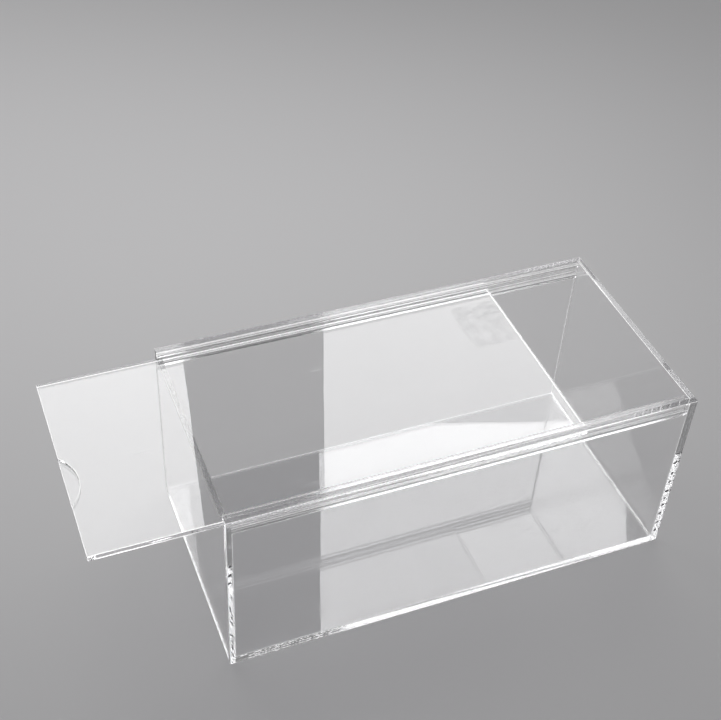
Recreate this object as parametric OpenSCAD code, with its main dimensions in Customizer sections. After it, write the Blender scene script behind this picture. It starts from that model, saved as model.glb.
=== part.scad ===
// Clear acrylic display case with a lid that slides in rails glued along the two long walls.
// The frame's origin is the centre of the underside. X runs along the lid's travel, with the low
// end that the lid comes out over at -X, Y runs across it and Z is up.

/* [Case] */
// Length of the case outside, along the lid's travel
case_l = 350; // [220:5:600]
// Width of the case outside, across the lid's travel
case_w = 176; // [110:2:400]
// Height of the case outside
case_h = 152; // [60:2:400]
// Thickness of the sheet that the base, the walls and the ends are cut from
sheet_t = 4.5; // [3:0.5:8]
// How far every arris that can be touched is eased
edge_ease = 0.3; // [0.1:0.1:0.6]

/* [Rails] */
// Width of the upper rails, which hold the lid down
upper_rail_w = 4.2; // [3:0.2:8]
// Height of the upper rails, whose tops are flush with the walls
upper_rail_h = 3.4; // [2:0.2:8]
// Width of the lower rails, which carry the lid
lower_rail_w = 4; // [3:0.2:8]
// Height of the lower rails
lower_rail_h = 4; // [2:0.2:8]
// Gap left between the rails and the fixed end for the cement to run
rail_end_gap = 0.8; // [0.4:0.1:2]
// Radius on the free corners of a rail's ends
rail_end_r = 1; // [0.4:0.1:2]

/* [Lid] */
// Thickness of the lid
lid_t = 4.5; // [3:0.1:6]
// Clearance between the lid and the lower rails that it slides on
slide_gap = 0.3; // [0.1:0.1:0.6]
// Clearance between the lid and the upper rails
head_gap = 1.3; // [0.3:0.1:2]
// Clearance between the lid and each long wall
side_gap = 2; // [0.6:0.1:3]
// Gap left to the fixed end when the lid is shut
stop_gap = 0.3; // [0.1:0.1:1]
// How far the shut lid stands out past the low end
lid_proud = 6; // [0:0.5:10]
// How far the lid is drawn out here, counted from shut
lid_open = 81; // [0:0.5:150]
// Radius on the lid's four corners in plan
lid_corner_r = 0.8; // [0.4:0.1:4]

/* [Thumb recess] */
// Width of the recess where it opens at the lid's outer end
recess_w = 44; // [24:1:60]
// How far the recess reaches into the lid
recess_reach = 9.3; // [5:0.1:12]
// Depth of the recess below the lid's top
recess_depth = 2.1; // [0.8:0.1:2.5]
// How far the recess lies in front of the lid's centre line
recess_offset = 15.5; // [0:0.5:20]
// Radius where the recess's wall meets its floor
recess_floor_r = 0.5; // [0.2:0.1:0.6]

/* [Hidden] */
$fn = 96;

// How far a cut runs on past the face that it opens
overrun = 1;

// Faces of the case, from the centre of its underside
end_x = case_l / 2;
inner_end_x = end_x - sheet_t;
outer_y = case_w / 2;
inner_y = outer_y - sheet_t;

// Levels of the channel, from the tops of the walls down
upper_rail_z = case_h - upper_rail_h;
lid_z = upper_rail_z - head_gap - lid_t;
lower_rail_top = lid_z - slide_gap;
lower_rail_z = lower_rail_top - lower_rail_h;

// Rails: where they stop, with the gap for the cement
rail_stop_x = inner_end_x - rail_end_gap;

// Lid: its size follows the channel, and its place how far it is drawn out
lid_l = inner_end_x - stop_gap + end_x + lid_proud;
lid_w = 2 * (inner_y - side_gap);
lid_end_x = -end_x - lid_proud - lid_open;

// Thumb recess: the arc through both ends of its mouth and its deepest point
recess_r = (recess_w * recess_w / 4 + recess_reach * recess_reach) / (2 * recess_reach);

// Colours: clear sheet, and the brighter look of narrow strips of it
sheet_colour = [0.86, 0.90, 0.92, 0.45];
strip_colour = [0.93, 0.95, 0.97, 0.65];

// One corner of an outline: cut off between two points, or left sharp
function corner(cut, before, sharp, after) = cut ? [before, after] : [sharp];

// A w by h rectangle from the origin. The flags go round from the origin's corner by way of
// [w, 0] and say which corners are eased.
function eased_rect(w, h, flags) = concat(
    corner(flags[0], [0, edge_ease], [0, 0], [edge_ease, 0]),
    corner(flags[1], [w - edge_ease, 0], [w, 0], [w, edge_ease]),
    corner(flags[2], [w, h - edge_ease], [w, h], [w - edge_ease, h]),
    corner(flags[3], [edge_ease, h], [0, h], [0, h - edge_ease])
);

// Runs an outline drawn in Y and Z along +X for a length
module along_x(length) {
    rotate([90, 0, 90]) linear_extrude(length) children();
}

// Runs an outline drawn in X and Z along +Y for a length
module along_y(length) {
    translate([0, length, 0]) rotate([90, 0, 0]) linear_extrude(length) children();
}

// A long wall at the front: its outer face has eased arrises, and its inner edges stay sharp
// where the ends, the base and the upper rail are cemented to it
module long_wall() {
    translate([-end_x, -outer_y, 0])
        intersection() {
            linear_extrude(case_h)
                polygon(eased_rect(case_l, sheet_t, [true, true, false, false]));
            along_x(case_l)
                polygon(eased_rect(sheet_t, case_h, [true, false, false, true]));
        }
}

// An end panel of a given height, standing between the long walls with its outer face at x = 0
// and its inner face at +X
module end_panel(height) {
    translate([0, -inner_y, 0])
        along_y(2 * inner_y)
            polygon(eased_rect(sheet_t, height, [true, false, true, true]));
}

// A rail's outline in plan, w wide from y = 0: the corners on the free side are round at the
// right end, and at the left end too where that end is free
module rail_plan(length, w, left_free) {
    left_r = left_free ? rail_end_r : 0;
    square([length, w - rail_end_r]);
    translate([left_r, 0])
        square([length - left_r - rail_end_r, w]);
    translate([length - rail_end_r, w - rail_end_r])
        circle(rail_end_r);
    if (left_free)
        translate([rail_end_r, w - rail_end_r])
            circle(rail_end_r);
}

// A rail on the front wall's inner face, from x to the cement gap at the fixed end, with its two
// free long arrises eased
module rail(x, z, w, h, left_free) {
    length = rail_stop_x - x;
    translate([x, -inner_y, z])
        intersection() {
            linear_extrude(h)
                rail_plan(length, w, left_free);
            along_x(length)
                polygon(eased_rect(w, h, [false, true, true, false]));
        }
}

// The recess as a cutter, with its floor at z = 0 and its arc's centre on the Z axis: a round
// floor corner below, the straight wall, and an eased rim at the lid's top
module recess_cutter() {
    cylinder(h = recess_depth + overrun, r = recess_r - recess_floor_r);
    translate([0, 0, recess_floor_r]) {
        rotate_extrude()
            translate([recess_r - recess_floor_r, 0])
                circle(recess_floor_r);
        cylinder(h = recess_depth - recess_floor_r + overrun, r = recess_r);
    }
    translate([0, 0, recess_depth - edge_ease])
        cylinder(h = edge_ease + overrun, r1 = recess_r, r2 = recess_r + edge_ease + overrun);
}

// The lid's plan, with its four small corner radii
module lid_plan() {
    translate([0, lid_corner_r])
        square([lid_l, lid_w - 2 * lid_corner_r]);
    translate([lid_corner_r, 0])
        square([lid_l - 2 * lid_corner_r, lid_w]);
    for (x = [lid_corner_r, lid_l - lid_corner_r], y = [lid_corner_r, lid_w - lid_corner_r])
        translate([x, y])
            circle(lid_corner_r);
}

// Base, set in between the walls and the ends, flush with their lower edges
module base_panel() {
    color(sheet_colour)
        translate([-inner_end_x, -inner_y, 0])
            cube([2 * inner_end_x, 2 * inner_y, sheet_t]);
}

module front_wall() {
    color(sheet_colour)
        long_wall();
}

module back_wall() {
    color(sheet_colour)
        mirror([0, 1, 0]) long_wall();
}

// Tall end, which shuts the channel and stops the lid
module fixed_end_panel() {
    color(sheet_colour)
        translate([end_x, 0, 0])
            mirror([1, 0, 0]) end_panel(case_h);
}

// Low end, level with the lower rails, so that the lid passes over it
module low_end_panel() {
    color(sheet_colour)
        translate([-end_x, 0, 0])
            end_panel(lower_rail_top);
}

module front_lower_rail() {
    color(strip_colour)
        rail(-inner_end_x, lower_rail_z, lower_rail_w, lower_rail_h, false);
}

module back_lower_rail() {
    color(strip_colour)
        mirror([0, 1, 0]) rail(-inner_end_x, lower_rail_z, lower_rail_w, lower_rail_h, false);
}

module front_upper_rail() {
    color(strip_colour)
        rail(-end_x, upper_rail_z, upper_rail_w, upper_rail_h, true);
}

module back_upper_rail() {
    color(strip_colour)
        mirror([0, 1, 0]) rail(-end_x, upper_rail_z, upper_rail_w, upper_rail_h, true);
}

// Lid, eased all round, with the thumb recess open at its outer end
module lid() {
    color(sheet_colour)
        translate([lid_end_x, -lid_w / 2, lid_z])
            difference() {
                intersection() {
                    linear_extrude(lid_t)
                        lid_plan();
                    along_x(lid_l)
                        polygon(eased_rect(lid_w, lid_t, [true, true, true, true]));
                    along_y(lid_w)
                        polygon(eased_rect(lid_l, lid_t, [true, true, true, true]));
                }
                translate([recess_reach - recess_r, lid_w / 2 - recess_offset, lid_t - recess_depth])
                    recess_cutter();
            }
}

base_panel();
front_wall();
back_wall();
fixed_end_panel();
low_end_panel();
front_lower_rail();
back_lower_rail();
front_upper_rail();
back_upper_rail();
lid();
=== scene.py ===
import math

import bpy
from mathutils import Matrix, Quaternion, Vector


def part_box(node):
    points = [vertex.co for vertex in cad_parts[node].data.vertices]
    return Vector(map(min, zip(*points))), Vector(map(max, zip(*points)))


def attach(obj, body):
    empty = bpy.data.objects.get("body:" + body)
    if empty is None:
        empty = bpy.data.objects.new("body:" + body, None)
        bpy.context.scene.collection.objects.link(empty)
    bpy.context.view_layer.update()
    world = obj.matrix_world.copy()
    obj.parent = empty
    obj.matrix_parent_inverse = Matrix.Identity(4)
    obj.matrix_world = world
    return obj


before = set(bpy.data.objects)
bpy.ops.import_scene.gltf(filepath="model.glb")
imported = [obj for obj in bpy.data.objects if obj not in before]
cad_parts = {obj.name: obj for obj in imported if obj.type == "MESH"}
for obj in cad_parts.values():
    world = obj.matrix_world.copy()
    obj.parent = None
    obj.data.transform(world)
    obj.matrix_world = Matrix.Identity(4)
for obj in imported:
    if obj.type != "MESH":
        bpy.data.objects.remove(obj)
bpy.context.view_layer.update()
print("frame loaded:", len(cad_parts), "nodes")


# Camera, placed where a fit of the case's eight corners puts the photograph's
cameraValues = {
    "place": (-0.3166, -0.6057, 0.7786),
    "aim": (-0.0039, 0.1059, 0.0760),
    "rollDegrees": 3.56,
    "lens": 64.43,
    "sensor": 36.0,
    "clipStart": 0.01,
}


def makeCamera(values):
    camera = bpy.data.objects.new("photoCamera", bpy.data.cameras.new("photoCamera"))
    bpy.context.scene.collection.objects.link(camera)
    view = Vector(values["aim"]) - Vector(values["place"])
    roll = Quaternion((0, 0, 1), math.radians(values["rollDegrees"]))
    camera.rotation_mode = "QUATERNION"
    camera.rotation_quaternion = view.to_track_quat("-Z", "Y") @ roll
    camera.location = values["place"]
    camera.data.lens = values["lens"]
    camera.data.sensor_width = values["sensor"]
    camera.data.clip_start = values["clipStart"]
    bpy.context.scene.camera = camera


makeCamera(cameraValues)
print("camera set")


# Short ways to add and join nodes
def addNode(tree, kind, **settings):
    node = tree.nodes.new(kind)
    for key, value in settings.items():
        setattr(node, key, value)
    return node


def fillSockets(tree, sockets, sources):
    for socket, source in zip(sockets, sources):
        if isinstance(source, (int, float, tuple)):
            socket.default_value = source
        else:
            tree.links.new(source, socket)


def addRange(tree, source, low, high, top=1.0, foot=0.0, curve="SMOOTHSTEP"):
    node = addNode(tree, "ShaderNodeMapRange", interpolation_type=curve)
    fillSockets(tree, node.inputs[:5], (source, low, high, foot, top))
    return node.outputs["Result"]


def addNoise(tree, vector, scale, detail, distortion=0.0):
    node = addNode(tree, "ShaderNodeTexNoise")
    node.inputs["Scale"].default_value = scale
    node.inputs["Detail"].default_value = detail
    node.inputs["Distortion"].default_value = distortion
    tree.links.new(vector, node.inputs["Vector"])
    return node.outputs["Fac"]


def addMath(tree, operation, *terms, clamp=False):
    node = addNode(tree, "ShaderNodeMath", operation=operation, use_clamp=clamp)
    fillSockets(tree, node.inputs, terms)
    return node.outputs[0]


def addVector(tree, operation, *terms):
    node = addNode(tree, "ShaderNodeVectorMath", operation=operation)
    fillSockets(tree, node.inputs, terms)
    return node.outputs["Value" if operation in ("DOT_PRODUCT", "LENGTH") else "Vector"]


def addTint(tree, factor, first, second):
    mix = addNode(tree, "ShaderNodeMix", data_type="RGBA")  # colours: inputs 6 and 7, output 2
    fillSockets(tree, (mix.inputs[0], mix.inputs[6], mix.inputs[7]), (factor, first, second))
    return mix.outputs[2]


def startMaterial(name):
    material = bpy.data.materials.new(name)
    material.use_nodes = True
    return material, material.node_tree, material.node_tree.nodes["Principled BSDF"]


def setGlow(material, colour, strength=1):
    tree = material.node_tree
    shader = tree.nodes["Principled BSDF"]
    fillSockets(tree, (shader.inputs["Emission Color"],), (colour,))
    shader.inputs["Emission Strength"].default_value = strength
    material.cycles.emission_sampling = "NONE"  # too faint to be sampled as a lamp


# Studio: pale floor, a sky that is pale low down and dim overhead, and two soft panels behind the
# case, whose mirror images lie on the lid and the base with a dark gap between them
studioValues = {
    "floorColour": (0.65, 0.645, 0.652, 1),
    "floorRoughness": 0.75,
    "floorReach": 9.0,
    "floorDrop": 0.0001,
    "farGlowFoot": 0.5,
    "farGlowTop": 2.3,
    "farGlow": 0.36,
    "horizonColour": (0.5, 0.5, 0.505, 1),
    "zenithColour": (0.09, 0.09, 0.092, 1),
    "horizonTop": 0.12,
    "zenithFoot": 0.5,
    "panelPoint": (0.0, 0.0, 0.1),
    "panelWay": (0.27, 0.66, 0.70),
    "panelDistance": 1.0,
}
panelValues = {
    "softRight": {
        "edge": (-0.067, 0.24), "tilt": 3.3, "side": 1, "size": (0.5, 0.725), "radiance": 3.5,
    },
    "softLeft": {
        "edge": (-0.25, 0.2), "tilt": 10.2, "side": -1, "size": (0.55, 0.75), "radiance": 4.2,
    },
}


def makeFloor(values):
    mesh = bpy.data.meshes.new("floor")
    reach = values["floorReach"]
    corners = [(-reach, -reach, 0), (reach, -reach, 0), (reach, reach, 0), (-reach, reach, 0)]
    mesh.from_pydata(corners, [], [(0, 1, 2, 3)])
    material, tree, shader = startMaterial("floorPaper")
    shader.inputs["Base Color"].default_value = values["floorColour"]
    shader.inputs["Roughness"].default_value = values["floorRoughness"]
    # Painted light: further out the paper glows, as pale as the horizon
    away = addVector(tree, "LENGTH", addNode(tree, "ShaderNodeTexCoord").outputs["Object"])
    lit = addRange(tree, away, values["farGlowFoot"], values["farGlowTop"], values["farGlow"])
    setGlow(material, lit)
    mesh.materials.append(material)
    floor = bpy.data.objects.new("floor", mesh)
    floor.location.z = -values["floorDrop"]
    bpy.context.scene.collection.objects.link(floor)


def makeSky(values):
    world = bpy.data.worlds.new("studioSky")
    world.use_nodes = True
    tree = world.node_tree
    parts = addNode(tree, "ShaderNodeSeparateXYZ")
    tree.links.new(addNode(tree, "ShaderNodeTexCoord").outputs["Generated"], parts.inputs[0])
    climb = addRange(tree, parts.outputs["Z"], values["horizonTop"], values["zenithFoot"])
    shade = addTint(tree, climb, values["horizonColour"], values["zenithColour"])
    tree.links.new(shade, tree.nodes["Background"].inputs["Color"])
    bpy.context.scene.world = world


def makeSoftPanel(name, values, studio):
    way = Vector(studio["panelWay"]).normalized()
    right = way.cross(Vector((0, 0, 1))).normalized()
    up = right.cross(way)
    tilt = math.radians(values["tilt"])
    across = right * math.cos(tilt) - up * math.sin(tilt)
    along = up * math.cos(tilt) + right * math.sin(tilt)
    width, height = values["size"]
    edge = right * values["edge"][0] + up * values["edge"][1]
    centre = Vector(studio["panelPoint"]) + way * studio["panelDistance"] + edge
    centre += across * (values["side"] * width / 2)
    light = bpy.data.lights.new(name, "AREA")
    light.shape = "RECTANGLE"
    light.size = width
    light.size_y = height
    light.energy = values["radiance"] * math.pi * width * height
    lamp = bpy.data.objects.new(name, light)
    turn = Matrix((-across, along, way)).transposed().to_4x4()
    lamp.matrix_world = Matrix.Translation(centre) @ turn
    bpy.context.scene.collection.objects.link(lamp)


makeFloor(studioValues)
makeSky(studioValues)
for panelName, panel in panelValues.items():
    makeSoftPanel(panelName, panel, studioValues)
print("studio lit")


# Acrylic: polished faces, sawn and lightly polished edges, faint marks of handling. Each sheet
# has these values, but for its own ones below.
acrylicValues = {
    "ior": 1.49,
    "faceTint": (0.99, 0.99, 0.992, 1),
    "edgeTint": (0.97, 0.97, 0.974, 1),
    "hazeTint": (0.93, 0.93, 0.932, 1),
    "jointTint": (0.3, 0.3, 0.304, 1),
    "lampTint": (0.945, 0.945, 0.948, 1),
    "jointAxis": (0, 0, 0),
    "glow": 0.8,
    "jointGlow": 0.06,
    "faceRoughness": 0.0,
    "edgeRoughness": 0.03,
    "arrisRoughness": 0.42,
    "hazeRoughness": 0.25,
    "smearStrength": 0.2,
    "rubCentre": (0, 0, 0),
    "rubSize": (0.01, 0.01, 0.01),
    "rubStrength": 0.0,
    "waveDepth": 0.00003,
    "jointGap": 0.00003,
}
sheetValues = {
    "acrylicWall": {
        "thinAxis": (0, 1, 0), "nodes": ("front_wall", "back_wall"),
        "edgeRoughness": 0.06, "glow": 0.5,
    },
    "acrylicTallEnd": {
        "thinAxis": (1, 0, 0), "jointAxis": (0, 1, 0), "nodes": ("fixed_end_panel",),
    },
    "acrylicLowEnd": {
        "thinAxis": (1, 0, 0), "jointAxis": (0, 1, 0), "nodes": ("low_end_panel",),
        # The low end's edges are tinted much darker than the other sheets' and glow little
        "edgeRoughness": 0.1, "edgeTint": (0.62, 0.62, 0.625, 1), "glow": 0.08,
    },
    "acrylicBase": {
        "thinAxis": (0, 0, 1), "jointAxis": (1, 1, 0), "nodes": ("base_panel",), "ior": 1.6,
        "jointTint": (0.42, 0.42, 0.425, 1), "jointGlow": 0.13,
    },
    "acrylicRail": {
        "thinAxis": (0, 1, 0), "jointAxis": (0, 1, 0), "edgeRoughness": 0.1, "glow": 0.15,
        "jointTint": (0.5, 0.5, 0.505, 1),
        "nodes": ("front_lower_rail", "back_lower_rail", "front_upper_rail", "back_upper_rail"),
    },
    "acrylicLid": {
        "thinAxis": (0, 0, 1), "nodes": ("lid",),
        "rubCentre": (0.069, 0.042, 0.147), "rubSize": (0.021, 0.026, 0.004), "rubStrength": 0.8,
    },
}
# How far a normal lies along the sheet's thin axis on a face, an edge and an arris at 45 degrees,
# and along the joint axis on a glued face
facingValues = {
    "face": 0.95, "edge": 0.6, "arris": math.sqrt(0.5), "arrisSpread": 0.04,
    "jointLeast": 0.9, "joint": 0.99,
}
marksValues = {
    "smear": {"scale": 16.0, "detail": 4.0, "distortion": 1.2},
    "smearRange": (0.6, 0.78),
    "hair": {"scale": 1.0, "detail": 1.0},
    "hairRange": (0.7, 0.74),
    "hairTurn": (0.5, 0.35, 0.65),
    "hairStretch": (9.0, 700.0, 9.0),
    "sparse": {"scale": 34.0, "detail": 1.0},
    "sparseRange": (0.6, 0.66),
    "rubRange": (0.86, 1.0),
    "mottle": {"scale": 150.0, "detail": 3.0, "distortion": 0.4},
    "mottleRange": (0.3, 0.7),
    "mottleShare": 0.6,
    "wave": {"scale": 17.0, "detail": 1.0},
}


def startGroup(name, inputs, outputs):
    group = bpy.data.node_groups.new(name, "ShaderNodeTree")
    for label, kind in inputs.items():
        group.interface.new_socket(label, in_out="INPUT", socket_type=kind)
    for label in outputs:
        group.interface.new_socket(label, in_out="OUTPUT", socket_type="NodeSocketFloat")
    return group, addNode(group, "NodeGroupInput"), addNode(group, "NodeGroupOutput")


def makeEdgeGroup(values):
    inputs = {"Thin Axis": "NodeSocketVector", "Joint Axis": "NodeSocketVector"}
    group, source, result = startGroup("cutEdge", inputs, ("Edge", "Arris", "Joint"))
    normal = addNode(group, "ShaderNodeTexCoord").outputs["Normal"]
    plain = addVector(group, "ABSOLUTE", normal)
    facing = addVector(group, "DOT_PRODUCT", plain, source.outputs["Thin Axis"])
    edge = addRange(group, facing, values["face"], values["edge"], curve="LINEAR")
    arris = addMath(group, "COMPARE", facing, values["arris"], values["arrisSpread"])
    glued = addVector(group, "DOT_PRODUCT", plain, source.outputs["Joint Axis"])
    joint = addRange(group, glued, values["jointLeast"], values["joint"], curve="LINEAR")
    group.links.new(edge, result.inputs["Edge"])
    group.links.new(arris, result.inputs["Arris"])
    group.links.new(joint, result.inputs["Joint"])
    return group


def makeMarksGroup(values):
    group, source, result = startGroup("handlingMarks", {
        "Rub Centre": "NodeSocketVector", "Rub Size": "NodeSocketVector",
        "Rub Strength": "NodeSocketFloat", "Smear Strength": "NodeSocketFloat",
    }, ("Haze", "Wave"))
    place = addNode(group, "ShaderNodeTexCoord").outputs["Object"]
    # Smears left by use and wiping
    smear = addRange(group, addNoise(group, place, **values["smear"]), *values["smearRange"])
    smear = addMath(group, "MULTIPLY", smear, source.outputs["Smear Strength"])
    # Hairlines, here and there
    turned = addNode(group, "ShaderNodeMapping")
    turned.inputs["Rotation"].default_value = values["hairTurn"]
    turned.inputs["Scale"].default_value = values["hairStretch"]
    group.links.new(place, turned.inputs["Vector"])
    hair = addNoise(group, turned.outputs["Vector"], **values["hair"])
    hair = addRange(group, hair, *values["hairRange"])
    sparse = addRange(group, addNoise(group, place, **values["sparse"]), *values["sparseRange"])
    hair = addMath(group, "MULTIPLY", hair, sparse)
    # One place rubbed dull
    away = addVector(group, "SUBTRACT", place, source.outputs["Rub Centre"])
    share = addVector(group, "DIVIDE", away, source.outputs["Rub Size"])
    parts = addNode(group, "ShaderNodeSeparateXYZ")
    group.links.new(addVector(group, "ABSOLUTE", share), parts.inputs[0])
    reach = addMath(group, "MAXIMUM", parts.outputs["X"], parts.outputs["Y"])
    reach = addMath(group, "MAXIMUM", reach, parts.outputs["Z"])
    inside = addMath(group, "SUBTRACT", 1.0, addRange(group, reach, *values["rubRange"]))
    mottle = addNoise(group, place, **values["mottle"])
    mottle = addRange(group, mottle, *values["mottleRange"], values["mottleShare"])
    mottle = addMath(group, "ADD", mottle, 1 - values["mottleShare"])
    rub = addMath(group, "MULTIPLY", inside, mottle)
    rub = addMath(group, "MULTIPLY", rub, source.outputs["Rub Strength"])
    haze = addMath(group, "ADD", addMath(group, "ADD", smear, hair), rub, clamp=True)
    group.links.new(haze, result.inputs["Haze"])
    group.links.new(addNoise(group, place, **values["wave"]), result.inputs["Wave"])
    return group


def letLampsThrough(tree, shader, tint):
    path = addNode(tree, "ShaderNodeLightPath")
    clear = addNode(tree, "ShaderNodeBsdfTransparent")
    clear.inputs["Color"].default_value = tint
    surface = shader.outputs["BSDF"]
    for way in ("Is Shadow Ray", "Is Diffuse Ray"):  # lamps and floor light pass straight on
        either = addNode(tree, "ShaderNodeMixShader")
        fillSockets(tree, either.inputs, (path.outputs[way], surface, clear.outputs["BSDF"]))
        surface = either.outputs[0]
    tree.links.new(surface, tree.nodes["Material Output"].inputs["Surface"])


def makeAcrylic(name, values, edgeGroup, marksGroup):
    material, tree, shader = startMaterial(name)
    shader.inputs["IOR"].default_value = values["ior"]
    shader.inputs["Transmission Weight"].default_value = 1
    edge = addNode(tree, "ShaderNodeGroup", node_tree=edgeGroup)
    edge.inputs["Thin Axis"].default_value = values["thinAxis"]
    edge.inputs["Joint Axis"].default_value = values["jointAxis"]
    marks = addNode(tree, "ShaderNodeGroup", node_tree=marksGroup)
    marks.inputs["Rub Centre"].default_value = values["rubCentre"]
    marks.inputs["Rub Size"].default_value = values["rubSize"]
    marks.inputs["Rub Strength"].default_value = values["rubStrength"]
    marks.inputs["Smear Strength"].default_value = values["smearStrength"]
    onEdge, onArris, onJoint = (edge.outputs[label] for label in ("Edge", "Arris", "Joint"))
    haze = marks.outputs["Haze"]
    tint = addTint(tree, onEdge, values["faceTint"], values["edgeTint"])
    tint = addTint(tree, onJoint, tint, values["jointTint"])
    tint = addTint(tree, haze, tint, values["hazeTint"])
    tree.links.new(tint, shader.inputs["Base Color"])
    # Painted light: a scraped arris glows, and a joint a little, in place of light that runs
    # inside the sheet and leaves it there
    arrisLight = addMath(tree, "MULTIPLY", onArris, values["glow"])
    jointLight = addMath(tree, "MULTIPLY", onJoint, values["jointGlow"])
    setGlow(material, addMath(tree, "ADD", arrisLight, jointLight))
    sawn = addRange(
        tree, onEdge, 0.0, 1.0, values["edgeRoughness"], values["faceRoughness"], curve="LINEAR"
    )
    dull = addMath(tree, "ADD", sawn, addMath(tree, "MULTIPLY", haze, values["hazeRoughness"]))
    scraped = addMath(tree, "MULTIPLY", onArris, values["arrisRoughness"])
    tree.links.new(addMath(tree, "ADD", dull, scraped), shader.inputs["Roughness"])
    # Faces are never quite flat
    face = addMath(tree, "SUBTRACT", 1.0, onEdge)
    wave = addNode(tree, "ShaderNodeBump")
    wave.inputs["Distance"].default_value = values["waveDepth"]
    tree.links.new(addMath(tree, "MULTIPLY", marks.outputs["Wave"], face), wave.inputs["Height"])
    tree.links.new(wave.outputs["Normal"], shader.inputs["Normal"])
    letLampsThrough(tree, shader, values["lampTint"])
    return material


edgeGroup = makeEdgeGroup(facingValues)
marksGroup = makeMarksGroup(marksValues)
for sheetName, sheet in sheetValues.items():
    sheetMaterial = makeAcrylic(sheetName, {**acrylicValues, **sheet}, edgeGroup, marksGroup)
    for nodeName in sheet["nodes"]:
        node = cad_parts[nodeName]
        for slot in node.material_slots:
            slot.material = sheetMaterial
        gap = node.modifiers.new("jointGap", "DISPLACE")  # the cement's thickness
        gap.mid_level = 0
        gap.strength = -acrylicValues["jointGap"]
print("acrylic on", sum(len(sheet["nodes"]) for sheet in sheetValues.values()), "nodes")


# Glued corners of the case: its outer end, the inner faces, the levels and the rails' ends
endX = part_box("front_wall")[1][0]
innerX, innerY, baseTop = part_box("base_panel")[1]
lowRailFoot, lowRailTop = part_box("front_lower_rail")[0][2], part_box("front_lower_rail")[1][2]
highRailFoot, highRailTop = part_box("front_upper_rail")[0][2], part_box("front_upper_rail")[1][2]
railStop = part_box("front_lower_rail")[1][0]

# Cement: a fine uneven bead along the glued inner corners, cloudy in places, with a faint painted
# glow
beadValues = {
    "radius": 0.00024,
    "sides": 8,
    "step": 0.003,
    "thinnest": 0.6,
    "thickest": 1.25,
    "grain": 70.0,
    "grainRange": (0.3, 0.7),
    "tint": (0.99, 0.99, 0.99, 1),
    "cloudTint": (0.96, 0.96, 0.962, 1),
    "cloud": {"scale": 260.0, "detail": 2.0},
    "cloudRange": (0.42, 0.6),
    "cloudRoughness": 0.2,
    "roughness": 0.04,
    "ior": 1.48,
    "glow": 0.11,
}


def startTree(name, inputs):
    tree = bpy.data.node_groups.new(name, "GeometryNodeTree")
    tree.is_modifier = True
    tree.interface.new_socket("Geometry", in_out="INPUT", socket_type="NodeSocketGeometry")
    for label, kind in inputs.items():
        tree.interface.new_socket(label, in_out="INPUT", socket_type=kind)
    tree.interface.new_socket("Geometry", in_out="OUTPUT", socket_type="NodeSocketGeometry")
    return tree, addNode(tree, "NodeGroupInput")


def endTree(tree, source, geometry):
    shade = addNode(tree, "GeometryNodeSetShadeSmooth")
    plain = addNode(tree, "GeometryNodeRealizeInstances")
    finish = addNode(tree, "GeometryNodeSetMaterial")
    tree.links.new(geometry, shade.inputs["Geometry"])
    tree.links.new(shade.outputs[0], plain.inputs[0])
    tree.links.new(plain.outputs[0], finish.inputs["Geometry"])
    tree.links.new(source.outputs["Material"], finish.inputs["Material"])
    tree.links.new(finish.outputs[0], addNode(tree, "NodeGroupOutput").inputs["Geometry"])


def makeBeadTree(values):
    tree, source = startTree("cementBead", {
        "Radius": "NodeSocketFloat", "Step": "NodeSocketFloat",
        "Thinnest": "NodeSocketFloat", "Thickest": "NodeSocketFloat",
        "Grain": "NodeSocketFloat", "Material": "NodeSocketMaterial",
    })
    link = tree.links.new
    lines = addNode(tree, "GeometryNodeMeshToCurve")
    steps = addNode(tree, "GeometryNodeResampleCurve", mode="LENGTH")
    ring = addNode(tree, "GeometryNodeCurvePrimitiveCircle")
    ring.inputs["Resolution"].default_value = values["sides"]
    place = addNode(tree, "GeometryNodeInputPosition")
    grain = addNode(tree, "ShaderNodeTexNoise")
    swell = addNode(tree, "ShaderNodeMapRange")
    swell.inputs["From Min"].default_value = values["grainRange"][0]
    swell.inputs["From Max"].default_value = values["grainRange"][1]
    tube = addNode(tree, "GeometryNodeCurveToMesh")
    tube.inputs["Fill Caps"].default_value = True
    link(source.outputs["Geometry"], lines.inputs["Mesh"])
    link(lines.outputs[0], steps.inputs["Curve"])
    link(source.outputs["Step"], steps.inputs["Length"])
    link(steps.outputs[0], tube.inputs["Curve"])
    link(source.outputs["Radius"], ring.inputs["Radius"])
    link(ring.outputs[0], tube.inputs["Profile Curve"])
    link(place.outputs[0], grain.inputs["Vector"])
    link(source.outputs["Grain"], grain.inputs["Scale"])
    link(grain.outputs[0], swell.inputs["Value"])
    link(source.outputs["Thinnest"], swell.inputs["To Min"])
    link(source.outputs["Thickest"], swell.inputs["To Max"])
    link(swell.outputs[0], tube.inputs["Scale"])
    endTree(tree, source, tube.outputs[0])
    return tree


def growPiece(name, guide, tree, values):
    mesh = bpy.data.meshes.new(name + "Guide")
    mesh.from_pydata(*guide)
    piece = bpy.data.objects.new(name, mesh)
    bpy.context.scene.collection.objects.link(piece)
    grow = piece.modifiers.new(tree.name, "NODES")
    grow.node_group = tree
    for item in tree.interface.items_tree:
        if item.in_out == "INPUT" and item.name in values:
            grow[item.identifier] = values[item.name]
    view = bpy.context.evaluated_depsgraph_get()
    grown = bpy.data.meshes.new_from_object(piece.evaluated_get(view))
    piece.modifiers.remove(grow)
    piece.data = grown
    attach(piece, "case")
    print(name, "has", len(grown.polygons), "faces")


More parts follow.
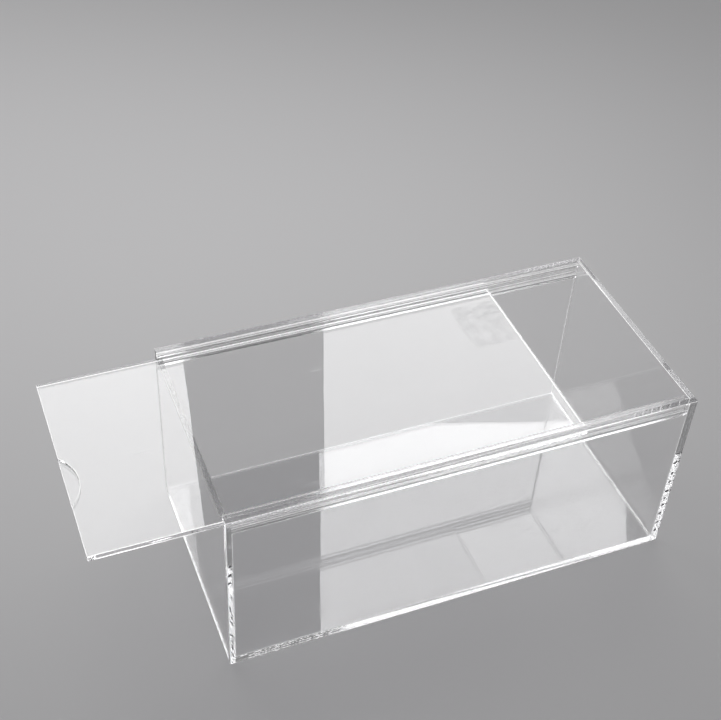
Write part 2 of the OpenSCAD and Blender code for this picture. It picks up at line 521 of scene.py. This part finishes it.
def beadGuide(radius):
    points, edges = [], []

    def addLine(start, end):
        points.extend((start, end))
        edges.append((len(points) - 2, len(points) - 1))

    x, y = innerX - radius, innerY - radius
    for side in (-1, 1):
        addLine((-x, side * y, baseTop + radius), (x, side * y, baseTop + radius))
        addLine((side * x, -y, baseTop + radius), (side * x, y, baseTop + radius))
        addLine((-x, side * y, baseTop), (-x, side * y, lowRailFoot - radius))
        addLine((x, side * y, baseTop), (x, side * y, highRailFoot))
        for level in (lowRailFoot - radius, lowRailTop + radius, highRailFoot - radius):
            addLine((-x, side * y, level), (railStop, side * y, level))
    return points, edges, []


def makeCement(values):
    material, tree, shader = startMaterial("cement")
    shader.inputs["IOR"].default_value = values["ior"]
    shader.inputs["Transmission Weight"].default_value = 1
    place = addNode(tree, "ShaderNodeTexCoord").outputs["Object"]
    cloud = addRange(tree, addNoise(tree, place, **values["cloud"]), *values["cloudRange"])
    tint = addTint(tree, cloud, values["tint"], values["cloudTint"])
    tree.links.new(tint, shader.inputs["Base Color"])
    dull = addMath(tree, "MULTIPLY", cloud, values["cloudRoughness"])
    dull = addMath(tree, "ADD", dull, values["roughness"])
    tree.links.new(dull, shader.inputs["Roughness"])
    # Painted light: the cement glows faintly, on the beads and the drops alike
    setGlow(material, values["tint"], values["glow"])
    letLampsThrough(tree, shader, acrylicValues["lampTint"])
    return material


cement = makeCement(beadValues)
growPiece("cementBeads", beadGuide(beadValues["radius"]), makeBeadTree(beadValues), {
    "Radius": beadValues["radius"], "Step": beadValues["step"],
    "Thinnest": beadValues["thinnest"], "Thickest": beadValues["thickest"],
    "Grain": beadValues["grain"], "Material": cement,
})


# What lies in the joints: air, white froth that also glows with painted light, and drops of
# cement, all as small flat discs
discValues = {"segments": 8, "rings": 5, "mostPerSquareMetre": 2000000}
airValues = {
    "colour": (0.26, 0.26, 0.263, 1),
    "paleColour": (0.5, 0.5, 0.503, 1),
    "tone": {"scale": 400.0, "detail": 1.0},
    "toneRange": (0.4, 0.6),
    "roughness": 0.3,
    "glow": 0.0,
}
frothValues = {
    "colour": (0.6, 0.6, 0.602, 1),
    "paleColour": (0.85, 0.85, 0.852, 1),
    "tone": {"scale": 400.0, "detail": 1.0},
    "toneRange": (0.4, 0.6),
    "roughness": 0.4,
    # painted light: the froth glows
    "glow": 0.9,
}
# How far the fills stay inside the end's two faces and the rails' edges, and how far the drops
# lie outside a rail's edge
endInsets = (0.0007, 0.0008)
railInset = 0.0004
dropReach = (0.0002, 0.0004)


def around(middle, half):
    return (middle - half, middle + half)


def mirrored(span):
    return (-span[1], -span[0])


def above(level):
    return (level + dropReach[0], level + dropReach[1])


def below(level):
    return (level - dropReach[1], level - dropReach[0])


# Spans along X or Y and bands up Z, with the joints' own faces as their limits
nearY, farY = -innerY, innerY
endMiddle = (innerX + endX) / 2
endSpan = (innerX + endInsets[0], endX - endInsets[1])
baseSpan = (-innerX, innerX)
crossSpan = (-innerY, innerY)
railSpan = (-innerX, railStop)
baseBand = (0.0005, 0.004)
lowRailBand = (lowRailFoot + railInset, lowRailTop - railInset)
highRailBand = (highRailFoot + railInset, highRailTop - railInset)

# Each plane is given by its axis and place, its span and its band
jointValues = {
    "jointDroplets": {
        "planes": {
            "right": ("y", nearY, around(endMiddle, 0.0004), (0.006, 0.097)),
            "left": ("y", nearY, around(-endMiddle, 0.0004), (0.086, 0.106)),
        },
        "Spacing": 0.0072, "Shortest": 0.0014, "Longest": 0.0021, "Narrowness": 0.7,
        "Thickness": 0.00011, "Turn": 1.0, "Turn Spread": 0.6, "Seed": 4,
    },
    "jointSeeds": {
        "planes": {
            "right": ("y", nearY, endSpan, (0.006, 0.1)),
            "left": ("y", nearY, mirrored(endSpan), (0.07, 0.106)),
            "farLeft": ("y", farY, mirrored(endSpan), (0.015, 0.055)),
        },
        "Spacing": 0.0044, "Shortest": 0.0003, "Longest": 0.0008, "Narrowness": 0.7,
        "Thickness": 0.0001, "Turn": 0.5, "Turn Spread": 1.5, "Seed": 6,
    },
    "jointStreaks": {
        "planes": {
            "leftFoot": ("y", nearY, around(-endMiddle, 0.0009), (0.007, 0.034)),
            "leftMiddle": ("y", nearY, around(-endMiddle, 0.0009), (0.043, 0.062)),
        },
        "Spacing": 0.0027, "Shortest": 0.0019, "Longest": 0.0034, "Narrowness": 0.15,
        "Thickness": 0.00011, "Turn": 1.9, "Turn Spread": 0.18, "Seed": 7,
    },
    "jointTicks": {
        "planes": {"nearFoot": ("y", nearY, (0.1, 0.168), (0.0019, 0.0025))},
        "Spacing": 0.0029, "Shortest": 0.0008, "Longest": 0.0013, "Narrowness": 0.33,
        "Thickness": 0.00011, "Turn": 1.3, "Turn Spread": 0.3, "Seed": 2,
    },
    "jointSpecks": {
        "planes": {
            "nearBase": ("y", nearY, baseSpan, baseBand),
            "farBase": ("y", farY, baseSpan, baseBand),
            "rightBase": ("x", innerX, crossSpan, baseBand),
            "leftBase": ("x", -innerX, crossSpan, baseBand),
            "nearLowRail": ("y", nearY, railSpan, lowRailBand),
            "farLowRail": ("y", farY, railSpan, lowRailBand),
            "nearHighRail": ("y", nearY, railSpan, highRailBand),
            "farHighRail": ("y", farY, railSpan, highRailBand),
            "farRight": ("y", farY, endSpan, (0.004, 0.148)),
            "rightTop": ("y", nearY, endSpan, (0.1, 0.148)),
        },
        "Spacing": 0.011, "Shortest": 0.0002, "Longest": 0.0005, "Narrowness": 0.7,
        "Thickness": 0.00009, "Turn": 0.0, "Turn Spread": 1.5, "Seed": 9,
    },
    "glowingJointFroth": {
        "planes": {
            "baseTop": ("y", nearY, (-0.167, -0.088), (0.0034, 0.0039)),
            "baseFoot": ("y", nearY, (-0.16, -0.088), (0.0009, 0.0024)),
        },
        "Spacing": 0.0017, "Shortest": 0.0007, "Longest": 0.0016, "Narrowness": 0.35,
        "Thickness": 0.0001, "Turn": 0.0, "Turn Spread": 0.25, "Seed": 5,
    },
    "cementDrops": {
        "planes": {
            "nearLowRail": ("y", nearY, (-0.166, -0.12), below(lowRailFoot)),
            "farLowRail": ("y", farY, (-0.15, -0.1), above(lowRailTop)),
            "farHighRail": ("y", farY, (-0.15, -0.1), below(highRailFoot)),
        },
        "Spacing": 0.009, "Shortest": 0.0004, "Longest": 0.0008, "Narrowness": 0.75,
        "Thickness": 0.0006, "Turn": 0.0, "Turn Spread": 0.2, "Seed": 3,
    },
}


def makeDiscTree(values):
    tree, source = startTree("jointDiscs", {
        "Spacing": "NodeSocketFloat", "Shortest": "NodeSocketFloat",
        "Longest": "NodeSocketFloat", "Narrowness": "NodeSocketFloat",
        "Thickness": "NodeSocketFloat", "Turn": "NodeSocketFloat",
        "Turn Spread": "NodeSocketFloat", "Seed": "NodeSocketInt",
        "Material": "NodeSocketMaterial",
    })
    link = tree.links.new
    points = addNode(tree, "GeometryNodeDistributePointsOnFaces", distribute_method="POISSON")
    points.inputs["Density Max"].default_value = values["mostPerSquareMetre"]
    ball = addNode(tree, "GeometryNodeMeshUVSphere")
    ball.inputs["Segments"].default_value = values["segments"]
    ball.inputs["Rings"].default_value = values["rings"]
    ball.inputs["Radius"].default_value = 1
    place = addNode(tree, "GeometryNodeInstanceOnPoints")
    # A random float has its least and most in sockets 2 and 3 and comes out of output 1
    long = addNode(tree, "FunctionNodeRandomValue", data_type="FLOAT")
    wide = addNode(tree, "ShaderNodeMath", operation="MULTIPLY")
    size = addNode(tree, "ShaderNodeCombineXYZ")
    spread = addNode(tree, "FunctionNodeRandomValue", data_type="FLOAT")
    spread.inputs[2].default_value = -1
    spread.inputs[3].default_value = 1
    swing = addNode(tree, "ShaderNodeMath", operation="MULTIPLY_ADD")
    angle = addNode(tree, "ShaderNodeCombineXYZ")
    turn = addNode(tree, "GeometryNodeRotateInstances")
    link(source.outputs["Geometry"], points.inputs["Mesh"])
    link(source.outputs["Spacing"], points.inputs["Distance Min"])
    link(source.outputs["Seed"], points.inputs["Seed"])
    link(points.outputs["Points"], place.inputs["Points"])
    link(points.outputs["Rotation"], place.inputs["Rotation"])
    link(ball.outputs["Mesh"], place.inputs["Instance"])
    link(source.outputs["Shortest"], long.inputs[2])
    link(source.outputs["Longest"], long.inputs[3])
    link(source.outputs["Seed"], long.inputs["Seed"])
    link(long.outputs[1], wide.inputs[0])
    link(source.outputs["Narrowness"], wide.inputs[1])
    link(long.outputs[1], size.inputs["X"])
    link(wide.outputs[0], size.inputs["Y"])
    link(source.outputs["Thickness"], size.inputs["Z"])
    link(size.outputs[0], place.inputs["Scale"])
    link(spread.outputs[1], swing.inputs[0])
    link(source.outputs["Turn Spread"], swing.inputs[1])
    link(source.outputs["Turn"], swing.inputs[2])
    link(swing.outputs[0], angle.inputs["Z"])
    link(place.outputs[0], turn.inputs["Instances"])
    link(angle.outputs[0], turn.inputs["Rotation"])
    endTree(tree, source, turn.outputs[0])
    return tree


def planeGuide(planes):
    points, faces = [], []
    for axis, place, (low, high), (foot, top) in planes:
        for along, level in ((low, foot), (high, foot), (high, top), (low, top)):
            points.append((along, place, level) if axis == "y" else (place, along, level))
        faces.append(tuple(range(len(points) - 4, len(points))))
    return points, [], faces


def makeFill(name, values):
    material, tree, shader = startMaterial(name)
    shader.inputs["Roughness"].default_value = values["roughness"]
    place = addNode(tree, "ShaderNodeTexCoord").outputs["Object"]
    tone = addRange(tree, addNoise(tree, place, **values["tone"]), *values["toneRange"])
    tint = addTint(tree, tone, values["colour"], values["paleColour"])
    tree.links.new(tint, shader.inputs["Base Color"])
    # Painted light: a fill glows with its pale colour, the froth strongly and the air not at all
    setGlow(material, values["paleColour"], values["glow"])
    return material


air = makeFill("airBubble", airValues)
glowingFroth = makeFill("glowingCementFroth", frothValues)
fills = {"glowingJointFroth": glowingFroth, "cementDrops": cement}  # the other pieces are air
discTree = makeDiscTree(discValues)
for pieceName, discs in jointValues.items():
    inputs = {**discs, "Material": fills.get(pieceName, air)}
    growPiece(pieceName, planeGuide(discs["planes"].values()), discTree, inputs)


# Light goes round inside the clear edges many times before it leaves them
bounces = 48
cycles = bpy.context.scene.cycles
cycles.max_bounces = bounces
cycles.glossy_bounces = bounces
cycles.transmission_bounces = bounces
cycles.transparent_max_bounces = bounces
bpy.context.scene.view_settings.view_transform = "Standard"
